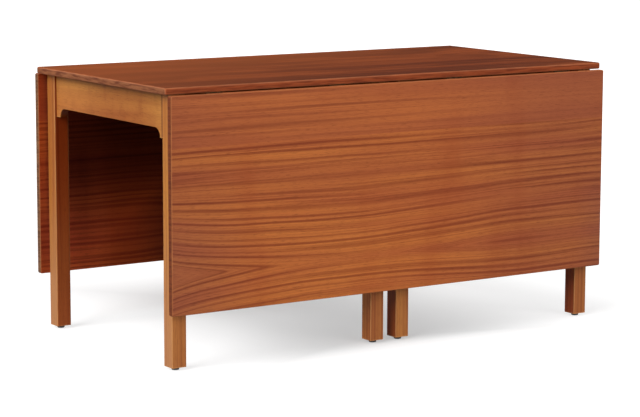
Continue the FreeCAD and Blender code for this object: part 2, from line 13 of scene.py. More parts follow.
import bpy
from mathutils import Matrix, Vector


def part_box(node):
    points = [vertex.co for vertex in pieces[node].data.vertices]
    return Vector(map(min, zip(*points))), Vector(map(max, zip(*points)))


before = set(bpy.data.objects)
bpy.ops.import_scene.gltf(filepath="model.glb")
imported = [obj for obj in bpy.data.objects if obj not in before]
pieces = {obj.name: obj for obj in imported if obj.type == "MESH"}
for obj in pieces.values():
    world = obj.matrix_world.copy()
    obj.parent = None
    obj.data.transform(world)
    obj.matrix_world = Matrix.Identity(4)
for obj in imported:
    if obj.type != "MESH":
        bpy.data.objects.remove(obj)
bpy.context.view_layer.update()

# %% [markdown]
# ## The camera
#
# A product picture of a long table is taken from far away with a long lens, so
# that its edges stay nearly parallel. The place and the three angles below were
# found by fitting the known corners of the table to where they lie in the
# picture. The focal length is given in pixels of an image 640 wide, and the
# lens in millimetres follows from the width of the sensor.

# %% Place the camera
import math

import bpy
from mathutils import Matrix

IMAGE_WIDTH = 640
FOCAL_PIXELS = 2290.5
SENSOR_WIDTH = 36.0
CAMERA_PLACE = (-3.4836, -5.2365, 1.2727)
CAMERA_HEADING = math.radians(33.58)
CAMERA_TILT = math.radians(8.63)
CAMERA_ROLL = math.radians(0.18)

scene = bpy.context.scene
camera_data = bpy.data.cameras.new("camera")
camera_data.sensor_width = SENSOR_WIDTH
camera_data.lens = FOCAL_PIXELS / IMAGE_WIDTH * SENSOR_WIDTH
camera = bpy.data.objects.new("camera", camera_data)
scene.collection.objects.link(camera)
camera.matrix_world = (Matrix.Translation(CAMERA_PLACE)
                       @ Matrix.Rotation(-CAMERA_HEADING, 4, "Z")
                       @ Matrix.Rotation(math.pi / 2 - CAMERA_TILT, 4, "X")
                       @ Matrix.Rotation(CAMERA_ROLL, 4, "Z"))
scene.camera = camera
scene.view_settings.view_transform = "Standard"
print("lens in millimetres:", round(camera_data.lens, 1))

# %% [markdown]
# ## Sums with sockets
#
# A procedural finish is mostly arithmetic: distances, bands and masks. Wiring
# each sum by hand hides the formula among the nodes. The class Wire stands for
# one output socket and takes part in ordinary Python sums, and each operator
# adds one Math node. The class NodeTree is what the nodes are added to. Its
# method node makes any other kind of node from a type, its settings and its
# inputs, and the short methods after it name the kinds that are used most. The
# class Finish is such a tree for one material.

# %% A socket that can be added and multiplied
class Wire:
    """One output socket; the operators add Math nodes to the tree that it is in."""

    def __init__(self, tree, socket):
        self.tree = tree
        self.socket = socket

    def output(self, name):
        """Another output of the same node."""
        return Wire(self.tree, self.socket.node.outputs[name])

    def __add__(self, other):
        return self.tree.math("ADD", self, other)

    def __radd__(self, other):
        return self.tree.math("ADD", other, self)

    def __sub__(self, other):
        return self.tree.math("SUBTRACT", self, other)

    def __rsub__(self, other):
        return self.tree.math("SUBTRACT", other, self)

    def __mul__(self, other):
        return self.tree.math("MULTIPLY", self, other)

    def __rmul__(self, other):
        return self.tree.math("MULTIPLY", other, self)

    def __abs__(self):
        return self.tree.math("ABSOLUTE", self)


print("a Wire takes part in sums with +, -, * and abs")


# %% A tree that sums and masks are written into
class NodeTree:
    """The nodes of a material or of the world."""

    def __init__(self, tree):
        self.nodes = tree.nodes
        self.links = tree.links

    def put(self, socket, value):
        """Links a Wire to a socket, or sets the socket to a plain value."""
        if isinstance(value, Wire):
            self.links.new(value.socket, socket)
        else:
            socket.default_value = value

    def node(self, kind, settings=None, inputs=None, output=0):
        """Adds a node: its settings first, then the values or links of its inputs."""
        made = self.nodes.new(kind)
        for name, value in (settings or {}).items():
            setattr(made, name, value)
        for name, value in (inputs or {}).items():
            self.put(made.inputs[name], value)
        return Wire(self, made.outputs[output])

    def math(self, operation, *values):
        """A Math node on one or two values."""
        return self.node("ShaderNodeMath", {"operation": operation}, dict(enumerate(values)))

    def least(self, first, second):
        """The smaller of two values."""
        return self.math("MINIMUM", first, second)

    def most(self, first, second):
        """The larger of two values; of two masks, the places that either of them covers."""
        return self.math("MAXIMUM", first, second)

    def noise(self, along, across, through, detail=2.0):
        """Noise from 0 to 1, read at a place that is already scaled, so one unit is one wave."""
        place = self.node("ShaderNodeCombineXYZ", inputs={"X": along, "Y": across, "Z": through})
        return self.node("ShaderNodeTexNoise", inputs={"Vector": place, "Scale": 1.0, "Detail": detail})

    def rise(self, value, low, high):
        """A mask that rises smoothly from 0 at low to 1 at high."""
        return self.node("ShaderNodeMapRange", {"interpolation_type": "SMOOTHSTEP"},
                         {"Value": value, "From Min": low, "From Max": high})

    def blend(self, share, first, second, way="MIX"):
        """The first colour with a share of the second in it; 6, 7 and 2 are the colour sockets."""
        return self.node("ShaderNodeMix", {"data_type": "RGBA", "blend_type": way},
                         {0: share, 6: first, 7: second}, output=2)

    def tint(self, share, colour, by):
        """The colour multiplied by another one, as far as the share says."""
        return self.blend(share, colour, by, "MULTIPLY")

    def bump(self, height, strength, distance):
        """A normal that stands for a fine relief of the given height times distance in metres."""
        return self.node("ShaderNodeBump",
                         inputs={"Strength": strength, "Distance": distance, "Height": height})

    def seen(self):
        """1 for what the camera sees, also in mirrors and through glass, and 0 for bounced light."""
        ray = self.node("ShaderNodeLightPath", output="Is Camera Ray")
        return self.most(ray, self.most(ray.output("Is Glossy Ray"), ray.output("Is Transmission Ray")))


print("short methods:", [name for name in vars(NodeTree) if not name.startswith("_")])


# %% A finish made of nodes
class Finish(NodeTree):
    """A material with a Principled shader; x, y and z are Object coordinates in metres."""

    def __init__(self, name):
        self.material = bpy.data.materials.new(name)
        self.material.use_nodes = True
        super().__init__(self.material.node_tree)
        self.shader = self.nodes["Principled BSDF"]
        place = self.node("ShaderNodeTexCoord", output="Object")
        self.x = self.node("ShaderNodeSeparateXYZ", inputs={"Vector": place}, output="X")
        self.y = self.x.output("Y")
        self.z = self.x.output("Z")

    def speckle(self, waves, detail=2.0):
        """Noise that is the same in all directions, in waves per metre."""
        return self.noise(self.x * waves, self.y * waves, self.z * waves, detail)

    def polish(self, **sockets):
        """Sets or links the Principled shader's sockets; an underscore stands for a space."""
        for name, value in sockets.items():
            self.put(self.shader.inputs[name.replace("_", " ")], value)
        return self


def dress(finish, *names):
    """Gives a finish to CAD pieces by name."""
    for name in names:
        for slot in pieces[name].material_slots:
            slot.material = finish.material
    print(finish.material.name, "on", len(names), "pieces")


print("pieces to dress:", len(pieces))

# %% Colours as a screen shows them
import numpy as np


def screen(red, green, blue):
    """The linear colour of screen values from 0 to 255: ((c + 0.055) / 1.055) to the power 2.4."""
    share = np.array([red, green, blue]) / 255
    return (*(((share + 0.055) / 1.055) ** 2.4).tolist(), 1.0)


def grey(level):
    """A linear grey; 1 is white."""
    return (level, level, level, 1.0)


print("a mid mahogany brown is", [round(c, 3) for c in screen(160, 87, 50)])

# %% [markdown]
# ## The floor
#
# The studio has a white floor that runs out of sight. Paper that only reflects
# the lamps would come out grey, and stronger lamps would bleach the wood. So the
# floor is a pale diffuse sheet with a share of plain white added for what the
# camera and mirrors see: it reads as white paper and still keeps the shadow. The
# share grows past the limits below, which are distances from the middle of the
# table in metres, so the shadow stays close under it. Light that bounces finds a
# darker paper with no white of its own, so the floor doesn't light the table
# from below.

# %% Make the floor
FLOOR_REACH = 40.0
FLOOR_DROP = 0.0003


def sheet_points(reach):
    """A level square: x = reach * u and y = reach * v for u and v of -1 and 1, just below z = 0."""
    u, v = np.meshgrid([-1.0, 1.0], [-1.0, 1.0], indexing="ij")
    return np.stack([reach * u, reach * v, 0 * u - FLOOR_DROP], axis=-1).reshape(-1, 3)


floor_mesh = bpy.data.meshes.new("studio_floor")
floor_mesh.from_pydata(sheet_points(FLOOR_REACH).tolist(), [], [(0, 2, 3, 1)])
floor = bpy.data.objects.new("studio_floor", floor_mesh)
scene.collection.objects.link(floor)
print("floor reaches", FLOOR_REACH, "m")

# %% White paper for the floor
PAPER_TONE = 0.42
PAPER_MOTTLE = 0.01
PAPER_WAVES = 3.0
PAPER_BOUNCE = 0.32
PAPER_WHITE = 0.39
BESIDE_WHITE = 0.33
RIGHT_WHITE = 0.14
PAST_LEFT = (0.1, 0.55)
PAST_RIGHT = (0.08, 0.68)
PAST_FRONT = (0.27, 0.46)
PAST_BACK = (0.45, 1.05)
FAR_RIGHT = (0.72, 0.98)

paper = Finish("floor_paper")
mottle = paper.noise(paper.x * PAPER_WAVES, paper.y * PAPER_WAVES, 0.0)
pale = paper.blend(mottle, grey(PAPER_TONE), grey(PAPER_TONE + PAPER_MOTTLE))
seen = paper.seen()
matt = paper.node("ShaderNodeBsdfDiffuse", inputs={"Color": paper.blend(seen, grey(PAPER_BOUNCE), pale)})
past_side = paper.most(paper.rise(0.0 - paper.y, *PAST_FRONT), paper.rise(paper.y, *PAST_BACK))
past_end = paper.most(paper.rise(0.0 - paper.x, *PAST_LEFT), paper.rise(paper.x, *PAST_RIGHT))
beside = paper.most(past_end, past_side)
glow = PAPER_WHITE + beside * BESIDE_WHITE + paper.rise(paper.x, *FAR_RIGHT) * RIGHT_WHITE
white = paper.node("ShaderNodeEmission", inputs={"Strength": seen * glow})
both = paper.node("ShaderNodeAddShader", inputs={0: matt, 1: white})
paper.put(paper.nodes["Material Output"].inputs["Surface"], both)
floor_mesh.materials.append(paper.material)
print("share of plain white:", PAPER_WHITE, "under the table,", PAPER_WHITE + BESIDE_WHITE, "beside it")

# %% [markdown]
# ## The lamps
#
# Large soft lamps light the table. A sun lamp with a wide angle is such a lamp
# very far away: it lights the near and the far floor alike, so the background
# stays even, and its shadows are soft. The key stands at the left, because the
# left faces of the legs are the brightest in the picture. A weaker lamp in front
# lights the leaf, and two weak ones keep the right side and the back from going
# black. The world is white where it is seen and gives little light of its own.

# %% Hang the lamps
# heading, height and width in degrees, then strength
LAMPS = {
    "left_lamp": (-78, 34, 45, 3.35),
    "front_lamp": (10, 20, 45, 1.4),
    "right_lamp": (92, 28, 60, 0.5),
    "back_lamp": (-170, 14, 30, 0.8),
}


def hang_lamp(name, heading, height, width, strength):
    """A sun lamp that is width degrees across; heading 0 shines from the front, and 90 from the right."""
    data = bpy.data.lights.new(name, "SUN")
    data.energy = strength
    data.angle = math.radians(width)
    lamp = bpy.data.objects.new(name, data)
    scene.collection.objects.link(lamp)
    lamp.matrix_world = (Matrix.Rotation(math.radians(heading), 4, "Z")
                         @ Matrix.Rotation(math.radians(90 - height), 4, "X"))


for name, lamp_values in LAMPS.items():
    hang_lamp(name, *lamp_values)

# %% Light the world
SKY_LIGHT = 0.14

world = bpy.data.worlds.new("studio")
scene.world = world
world.use_nodes = True
sky = NodeTree(world.node_tree)
sky_sockets = sky.nodes["Background"].inputs
sky.put(sky_sockets["Color"], grey(1.0))
sky.put(sky_sockets["Strength"], SKY_LIGHT + (1.0 - SKY_LIGHT) * sky.seen())
print("light from the sky:", SKY_LIGHT, "of white")

# %% [markdown]
# ## What all the woods share
#
# A plank is a stack of rings round the heart of the tree, crossed by fibres and
# by the open pores that mahogany shows as fine dark dashes. So the wood is
# written in three coordinates: along the grain, across it and through it. The
# rings give broad bands of colour, dark growth lines about 20 mm apart and finer
# streaks. The growth lines are the crests of a sine of the ring distance, swayed
# by a slow noise, so they keep their spacing and still wander. The bands, the
# strength of the lines and the streaks are noise that is read slowly along the
# grain and quickly across the rings, so they swell and fade as real ones do. The
# fibres and the pores also drive the roughness and the bump, as the oil sinks
# into them.

# %% Scales of the grain
# each pair of waves is per metre along the grain and across it
BAND_WAVES = (0.8, 12.0)
SWAY_WAVES = (0.8, 26.0)
STRENGTH_WAVES = (1.2, 70.0)
STREAK_WAVES = (1.4, 250.0)
FIBRE_WAVES = (14.0, 1200.0)
PORE_WAVES = (50.0, 1700.0)
SWAY_LAYER = 3.0
STRENGTH_LAYER = 1.7
STREAK_LAYER = 7.0
LINE_SPACING = 0.019
LINE_SWAY = 12.0


def grain(finish, waves, along, across, layer, detail=2.0):
    """Noise with a pair of waves, along the grain and across it; layer picks another slice of it."""
    lengthwise, crosswise = waves
    return finish.noise(along * lengthwise, across * crosswise, layer, detail)


print("growth lines are", LINE_SPACING * 1000, "mm apart")

# %% Colour of sawn mahogany
BAND_STEP = (0.34, 0.64)
LINE_STEP = (-0.6, 1.0)
STRENGTH_STEP = (0.3, 0.66)
STREAK_STEP = (0.46, 0.76)
PORE_STEP = (0.64, 0.76)
LINE_SHARE = 0.68
STREAK_SHARE = 0.5
FIBRE_SHARE = 0.22
PORE_SHARE = 0.5
FIBRE_HEIGHT = 0.5


def sawn(finish, along, ring, across, through, tones, seed, growth=1.0, streaks=1.0):
    """Bands, growth lines, fine streaks, fibres and pores, mixed into one colour.

    ring is the distance from the heart in metres, and growth times ring is what the lines and
    streaks are read from, so a growth of 2 has them twice as close. streaks scales how dark they
    are. Also returns the fibres and the relief, which is high on fibres and low in pores.
    """
    golden, middle, dark, pore = tones
    close = ring * growth
    bands = grain(finish, BAND_WAVES, along, ring, seed)
    sway = grain(finish, SWAY_WAVES, along, ring, seed + SWAY_LAYER, detail=1.0)
    lines = finish.math("SINE", close * (2 * math.pi / LINE_SPACING) + sway * LINE_SWAY)
    strength = grain(finish, STRENGTH_WAVES, along, close, seed + STRENGTH_LAYER)
    fine = grain(finish, STREAK_WAVES, along, close, seed + STREAK_LAYER)
    fibres = grain(finish, FIBRE_WAVES, along, across, through * FIBRE_WAVES[1])
    pores = grain(finish, PORE_WAVES, along, across, through * PORE_WAVES[1], detail=0.0)
    shade = finish.rise(lines, *LINE_STEP) * finish.rise(strength, *STRENGTH_STEP) * (LINE_SHARE * streaks)
    hair = finish.rise(fine, *STREAK_STEP) * (STREAK_SHARE * streaks)
    open_pores = finish.rise(pores, *PORE_STEP)
    colour = finish.blend(finish.rise(bands, *BAND_STEP), golden, middle)
    colour = finish.blend(shade, colour, dark)
    colour = finish.blend(hair, colour, dark)
    colour = finish.blend(fibres * FIBRE_SHARE, colour, dark)
    colour = finish.blend(open_pores * PORE_SHARE, colour, pore)
    return colour, fibres, fibres * FIBRE_HEIGHT - open_pores


print("most that dark lines, streaks and fibres cover:", LINE_SHARE, STREAK_SHARE, FIBRE_SHARE)

# %% [markdown]
# ## Handled edges, painted highlights and oil
#
# An oiled table has no thick film of varnish. The fibres stay a little rough, the
# pores stay open, and hands rub the arrises smoother and paler. The paler arrises
# are also a painted highlight, where light would catch the rounded edge. Blender
# could find edges with a pointiness node, but that reads the mesh, and these meshes
# have few points. A distance to the sides of the piece's box is exact and costs
# little, so the mask for the rubbed and highlit arrises is worked out from that.

# %% Rubbed arrises and oil
SPOT_WAVES = 14.0
SPOT_STEP = (0.35, 0.65)
LEAST_WEAR = 0.6
OIL_ROUGH = 0.44
FIBRE_ROUGH = 0.16
WEAR_SMOOTH = 0.1
PORE_STRENGTH = 0.25
PORE_DEPTH = 0.0002
COAT_ROUGH = 0.35
OPEN_SIDE = -1.0


def near_arris(finish, low, high, reach):
    """1 on the arrises of a box and 0 further than reach from them.

    On the surface of a box one of the three distances to its sides is zero, so the middle
    one of the three is the distance to the nearest arris. low and high bound |x|, |y| and z.
    OPEN_SIDE as a low bound is never met, for a piece that runs through the middle.
    """
    places = (abs(finish.x), abs(finish.y), finish.z)
    limits = zip(places, low, high)
    first, second, third = [finish.least(place - start, end - place) for place, start, end in limits]
    middle = finish.most(finish.least(first, second), finish.least(finish.most(first, second), third))
    return 1.0 - finish.rise(middle, 0.0, reach)


def rub_and_highlight(finish, colour, arris, worn_highlight_tone, share):
    """The worn part of the arris, stronger in some spots, and the colour paled by it, partly worn and partly
    a painted highlight.
    """
    spots = finish.rise(finish.speckle(SPOT_WAVES), *SPOT_STEP)
    wear_and_highlight = arris * (LEAST_WEAR + (1.0 - LEAST_WEAR) * spots)
    return wear_and_highlight, finish.blend(wear_and_highlight * share, colour, worn_highlight_tone)


def oil(finish, colour, fibres, relief, wear_and_highlight, sheen):
    """An oiled surface: rough on the fibres, smooth where it is worn, with sunk pores.

    The wood under the oil has no gloss of its own: all the sheen is in the thin coat.
    """
    return finish.polish(Base_Color=colour, Roughness=OIL_ROUGH + fibres * FIBRE_ROUGH - wear_and_highlight * WEAR_SMOOTH,
                         Normal=finish.bump(relief, PORE_STRENGTH, PORE_DEPTH), Specular_IOR_Level=0.0,
                         Coat_Weight=sheen, Coat_Roughness=COAT_ROUGH)


print("roughness of oiled wood:", OIL_ROUGH, "to", OIL_ROUGH + FIBRE_ROUGH)

# %% [markdown]
# ## The veneered boards
#
# The top and the leaves are boards with a frame of solid lippings, mitred at the
# corners, and veneer laid over both faces. The veneer was sliced almost parallel
# to the heart of the log. Where the knife came nearest to the heart the rings
# open into a long pointed arch, and far from it they run as straight lines. One
# formula gives both. The slice passes the heart at a depth that changes along the
# plank, and a point's ring distance is a mean of that depth and of its height
# beside the heart. The root of their squares would give round arches, so a lower
# power takes its place. The lippings show on the edges only, as straight wood, so
# one finish serves a whole board: a mask picks the edge.

# %% Rings of a slice that passes close to the heart
ARCH_POWER = 1.25
LEAST_DEPTH_SQUARED = 0.0001
WANDER_WAVES = (2.0, 4.0)
WANDER_LAYER = 1.0
WANDER_HEIGHT = 0.014
YOUNG_CROWDING = 0.02


def sliced_rings(finish, along, height, start, end, depth_rise, depth_fall, reach):
    """The power mean of height and depth, and a share of its logarithm.

    The ring is (height to the power 1.25 plus depth to the power 1.25) to the power 0.8. With a
    power of 2 the arches would be round, and nearer to 1 they are pointed. Depth squared climbs
    by depth_rise from start to end, steeply at first, as t * (2 - t) does, and then falls by
    depth_fall over as long a stretch again. It counts in full up to the first height of reach
    and not at all past the second, so lines far from the heart are straight. The logarithm
    crowds the lines towards the heart, where the tree was young and its rings were narrow.
    """
    share = finish.node("ShaderNodeMapRange", inputs={"Value": along, "From Min": start, "From Max": end})
    after = finish.rise(along, end, 2 * end - start)
    near = 1.0 - finish.rise(abs(height), *reach)
    squared = LEAST_DEPTH_SQUARED + (share * (2.0 - share) * depth_rise - after * depth_fall) * near
    wander = grain(finish, WANDER_WAVES, along, height, WANDER_LAYER)
    steady = abs(height + (wander - 0.5) * WANDER_HEIGHT)
    parts = finish.math("POWER", steady, ARCH_POWER) + finish.math("POWER", squared, ARCH_POWER / 2)
    distance = finish.math("POWER", parts, 1 / ARCH_POWER)
    return distance + finish.math("LOGARITHM", distance, math.e) * YOUNG_CROWDING


print("least depth of the heart:", 1000 * math.sqrt(LEAST_DEPTH_SQUARED), "mm")

# %% Solid wood on the edges
EDGE_SKIN = (0.0022, 0.0004)
EDGE_WAVES = (14.0, 170.0)
EDGE_DEPTH_WAVES = 20.0
EDGE_STEP = (0.36, 0.66)


def outer_face(finish, place, limit):
    """1 on the narrow outer face of a board, within 2 mm of its limit."""
    far, near = EDGE_SKIN
    return finish.rise(place, limit - far, limit - near)


def edge_wood(finish, light, dark):
    """A lipping's outer face: streaks a few centimetres long and a few millimetres high."""
    layer = finish.y * EDGE_DEPTH_WAVES
    streak = grain(finish, EDGE_WAVES, finish.x + finish.y, finish.z, layer, detail=3.0)
    return finish.blend(finish.rise(streak, *EDGE_STEP), light, dark)


print("edge streaks:", round(1000 / EDGE_WAVES[1], 1), "mm high")

# %% [markdown]
# ## The two leaves
#
# Each leaf has two sheets of veneer. The lower one holds the arch, near one lower
# corner, with little figure in its heart, dull lower corners and a redder stripe
# above it. The upper one, past a hairline seam, is plainer. The outer faces have
# bleached in the daylight, and a painted shade makes them darker and a little bluer
# towards the ends. The inner faces are redder, as wood kept from daylight is, and
# carry painted shade, deepest high up and at the middle, with painted light towards
# the ends.
# Painting each of these would need a picture; here each is a smooth mask over the
# same wood, so the figure runs on through all of them. The two leaves use the same
# figure turned round, with other noise, so that each shows its own lines.

# %% Tones of the leaves
LEAF_TONES = (screen(206, 121, 60), screen(186, 102, 57), screen(116, 44, 30), screen(84, 36, 24))
PLAIN_TONES = (screen(194, 109, 60), screen(177, 96, 57), screen(116, 50, 35), screen(90, 40, 28))
LEAF_CROSS = screen(150, 66, 34)
# the paler arris colour is partly wear and partly a painted highlight
LEAF_WORN_HIGHLIGHT = screen(206, 136, 84)
FRONT_EDGE = (screen(106, 50, 26), screen(80, 36, 20))
BACK_EDGE = (screen(112, 84, 60), screen(78, 54, 38))
HINGED_EDGE = (screen(152, 80, 45), screen(118, 60, 34))
# these multiply the tones
LEAF_DULL = (0.86, 0.90, 1.14, 1.0)
LEAF_RED = (0.86, 0.81, 0.94, 1.0)
# the next one is painted shade, darker and a little bluer towards the ends of a leaf
LEAF_END_SHADE = (0.77, 0.77, 1.02, 1.0)
# the next three paint the inner faces: red of wood kept from daylight with painted shade, deeper painted
# shade, and painted light
LEAF_UNFADED_AND_SHADED = (1.05, 0.61, 0.44, 1.0)
LEAF_DEEP_SHADE = (0.20, 0.10, 0.09, 1.0)
LEAF_LIT = (2.05, 2.2, 3.0, 1.0)
print("leaf from", [round(c, 2) for c in LEAF_TONES[0][:3]], "to", [round(c, 2) for c in LEAF_TONES[2][:3]])

# %% Places of the figure on a leaf
HEART_HEIGHT = 0.249
SEAM_HEIGHT = 0.569
HALF_SEAM = 0.0003
ARCH_START = 0.70
ARCH_END = 0.14
LEAF_DEPTHS = (0.0029, 0.0016)
LEAF_REACH = (0.1, 0.25)
HEART_RINGS = (-0.046, -0.022)
HEART_STREAKS = 0.25
PLAIN_LAYER = 20.0
PLAIN_STREAKS = 0.8
PLAIN_CALMED = 0.55
CROSS_WAVES = (6.0, 1.4)
CROSS_LAYER = 11.0
CROSS_STEP = (0.5, 0.75)
CROSS_SHARE = 0.3
DULL_HEIGHTS = (0.3, 0.47)
RED_HEIGHT = 0.478
RED_REACH = (0.02, 0.075)
END_SHADE_MIDDLE = -0.18
END_SHADE_REACH = (0.2, 0.78)
# places along a leaf, from 1 at the arch's end to -1 at the other end
ARCH_CORNER = (0.55, 1.0)
FAR_CORNER = (-0.82, -1.0)
PLAIN_CALM = (0.4, -0.6)
RED_FADES = (0.3, -0.6)
print("seam", SEAM_HEIGHT, "m and heart", HEART_HEIGHT, "m above the floor")


# %% Figure of a leaf
def leaf_figure(finish, arch_side, seed, growth):
    """The arched sheet, above the seam a plainer one, and the shades that lie over both.

    arch_side is -1 where the arch starts at the left end and 1 where it starts at the right.
    """
    x, y, z = finish.x, finish.y, finish.z
    place = x * (arch_side / ARCH_START)
    rings = sliced_rings(finish, x, z - HEART_HEIGHT, arch_side * ARCH_START, arch_side * ARCH_END,
                         *LEAF_DEPTHS, LEAF_REACH)
    streaks = HEART_STREAKS + (1.0 - HEART_STREAKS) * finish.rise(rings, *HEART_RINGS)
    colour, fibres, relief = sawn(finish, x, rings, z, y, LEAF_TONES, seed, growth, streaks)
    corners = finish.most(finish.rise(place, *ARCH_CORNER), finish.rise(place, *FAR_CORNER))
    colour = finish.tint(corners * (1.0 - finish.rise(z, *DULL_HEIGHTS)), colour, LEAF_DULL)
    stripe = 1.0 - finish.rise(abs(z - RED_HEIGHT), *RED_REACH)
    colour = finish.tint(stripe * (1.0 - finish.rise(place, *RED_FADES)), colour, LEAF_RED)
    calmer = PLAIN_STREAKS - PLAIN_CALMED * finish.rise(place, *PLAIN_CALM)
    plain, _, _ = sawn(finish, x, z, z, y, PLAIN_TONES, seed + PLAIN_LAYER, growth, calmer)
    colour = finish.blend(finish.rise(z, SEAM_HEIGHT - HALF_SEAM, SEAM_HEIGHT + HALF_SEAM), colour, plain)
    cross = grain(finish, CROSS_WAVES, x, z, seed + CROSS_LAYER)
    colour = finish.blend(finish.rise(cross, *CROSS_STEP) * CROSS_SHARE, colour, LEAF_CROSS)
    # painted shade towards the ends of the leaf
    colour = finish.tint(finish.rise(abs(x - END_SHADE_MIDDLE), *END_SHADE_REACH), colour, LEAF_END_SHADE)
    return colour, fibres, relief


print("the arch runs over", round(ARCH_START - ARCH_END, 2), "m of a leaf")

# %% Inner face of a leaf
CORNER_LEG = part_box("back_right_leg")[1].x
LEAF_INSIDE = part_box("back_leaf_right_lipping")[0].y
INSIDE_SKIN = 0.004
LEG_FADE = (CORNER_LEG - 0.03, CORNER_LEG + 0.01)
DEEP_HEIGHTS = (0.17, 0.46)
DEEP_MIDDLE = (0.2, 0.58)
LIT_LENGTHS = (0.44, 0.62)


def leaf_inside(finish, colour, painted_light_share):
    """The inner face: the red of wood kept from daylight together with painted shade, deepest high
    up and at the middle, and painted light between the middle and the legs.

    The last argument is how much of the painted light this leaf shows.
    """
    length = abs(finish.x)
    inner = 1.0 - finish.rise(abs(finish.y), LEAF_INSIDE, LEAF_INSIDE + INSIDE_SKIN)
    between = 1.0 - finish.rise(length, *LEG_FADE)
    # painted shade on the inner face, with the red of wood kept from daylight, and painted light towards the
    # ends
    deep = finish.most(finish.rise(finish.z, *DEEP_HEIGHTS), 1.0 - finish.rise(length, *DEEP_MIDDLE))
    unfaded_and_shaded = finish.blend(deep * between, LEAF_UNFADED_AND_SHADED, LEAF_DEEP_SHADE)
    unfaded_and_shaded = finish.tint(finish.rise(length, *LIT_LENGTHS) * between * painted_light_share, unfaded_and_shaded, LEAF_LIT)
    return finish.tint(inner, colour, unfaded_and_shaded)


print("inner face of the leaves at y =", round(LEAF_INSIDE, 4), "m")

# %% Dress the leaves
LEAF_EDGE_SHARE = 0.85
LEAF_ARRIS = 0.003
LEAF_WEAR_AND_HIGHLIGHT = 0.5
LEAF_SHEEN = 0.12
LEAF_PIECES = ("board", "hinge_lipping", "free_lipping", "left_lipping", "right_lipping")
leaf_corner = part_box("back_leaf_right_lipping")[1]
LEAF_LOW = (OPEN_SIDE, LEAF_INSIDE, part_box("back_leaf_free_lipping")[0].z)
LEAF_HIGH = (leaf_corner.x, leaf_corner.y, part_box("back_leaf_hinge_lipping")[1].z)


def leaf_veneer(side, arch_side, seed, growth, end_tones, painted_light_share):
    """One leaf: its figure, its inner face, the hinged edge, the end edges and the worn, highlit arrises."""
    finish = Finish(f"{side}_leaf_veneer")
    colour, fibres, relief = leaf_figure(finish, arch_side, seed, growth)
    colour = leaf_inside(finish, colour, painted_light_share)
    hinged = outer_face(finish, finish.z, LEAF_HIGH[2])
    ends = outer_face(finish, abs(finish.x), LEAF_HIGH[0])
    colour = finish.blend(hinged * LEAF_EDGE_SHARE, colour, edge_wood(finish, *HINGED_EDGE))
    colour = finish.blend(ends * LEAF_EDGE_SHARE, colour, edge_wood(finish, *end_tones))
    arris = near_arris(finish, LEAF_LOW, LEAF_HIGH, LEAF_ARRIS)
    wear_and_highlight, colour = rub_and_highlight(finish, colour, arris, LEAF_WORN_HIGHLIGHT, LEAF_WEAR_AND_HIGHLIGHT)
    oil(finish, colour, fibres, relief, wear_and_highlight, LEAF_SHEEN)
    dress(finish, *[f"{side}_leaf_{piece}" for piece in LEAF_PIECES])


leaf_veneer("front", arch_side=-1, seed=0.0, growth=1.0, end_tones=FRONT_EDGE, painted_light_share=0.15)
leaf_veneer("back", arch_side=1, seed=40.0, growth=1.1, end_tones=BACK_EDGE, painted_light_share=1.0)

# %% [markdown]
# ## The fixed top
#
# The top is the darkest face, a deep brown and smoky in places, and painted light
# from the left makes it paler towards the back left corner. Its veneer is the
# same kind of slice as on the leaves, so the same formula serves, in plan instead
# of upright. The edge is paler than the face, and its arrises are the most rubbed
# and carry the strongest painted highlight.

# %% Tones and figure of the fixed top
TOP_TONES = (screen(148, 73, 37), screen(112, 53, 29), screen(64, 26, 17), screen(56, 24, 17))
TOP_SMOKE = screen(76, 35, 21)
# painted light from the left, paler towards the back left corner
TOP_PAINTED_LIGHT = screen(172, 91, 46)
# the paler arris colour is partly wear and partly a painted highlight
TOP_WORN_HIGHLIGHT = screen(184, 116, 80)
TOP_FRONT_EDGE = (screen(160, 80, 46), screen(122, 58, 36))
TOP_END_EDGE = (screen(143, 91, 62), screen(100, 56, 40))
TOP_LOW = (OPEN_SIDE, OPEN_SIDE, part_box("top_board")[0].z)
TOP_HIGH = (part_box("top_right_lipping")[1].x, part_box("top_back_lipping")[1].y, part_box("top_board")[1].z)
TOP_SEED = 80.0
TOP_HEART = 0.08
TOP_ARCH = (0.65, -0.1)
TOP_DEPTHS = (0.0050, 0.0014)
TOP_REACH = (0.4, 0.6)
SMOKE_WAVES = (2.4, 8.0)
SMOKE_LAYER = 4.0
SMOKE_STEP = (0.44, 0.60)
SMOKE_SHARE = 0.55
TOP_LIGHT_SLOPE = (0.8, 1.3)
TOP_LIGHT_STEP = (0.5, -0.75)
TOP_LIGHT_SHARE = 0.45
TOP_EDGE_SHARE = 0.9
TOP_ARRIS = 0.005
TOP_WEAR_AND_HIGHLIGHT = 0.7
TOP_SHEEN = 0.04
print("top", round(TOP_HIGH[2] - TOP_LOW[2], 4), "m thick")

# %% Dress the fixed top
top = Finish("top_veneer")
rings = sliced_rings(top, top.x, top.y - TOP_HEART, *TOP_ARCH, *TOP_DEPTHS, TOP_REACH)
colour, fibres, relief = sawn(top, top.x, rings, top.y, top.z, TOP_TONES, TOP_SEED)
smoke = grain(top, SMOKE_WAVES, top.x, top.y, SMOKE_LAYER)
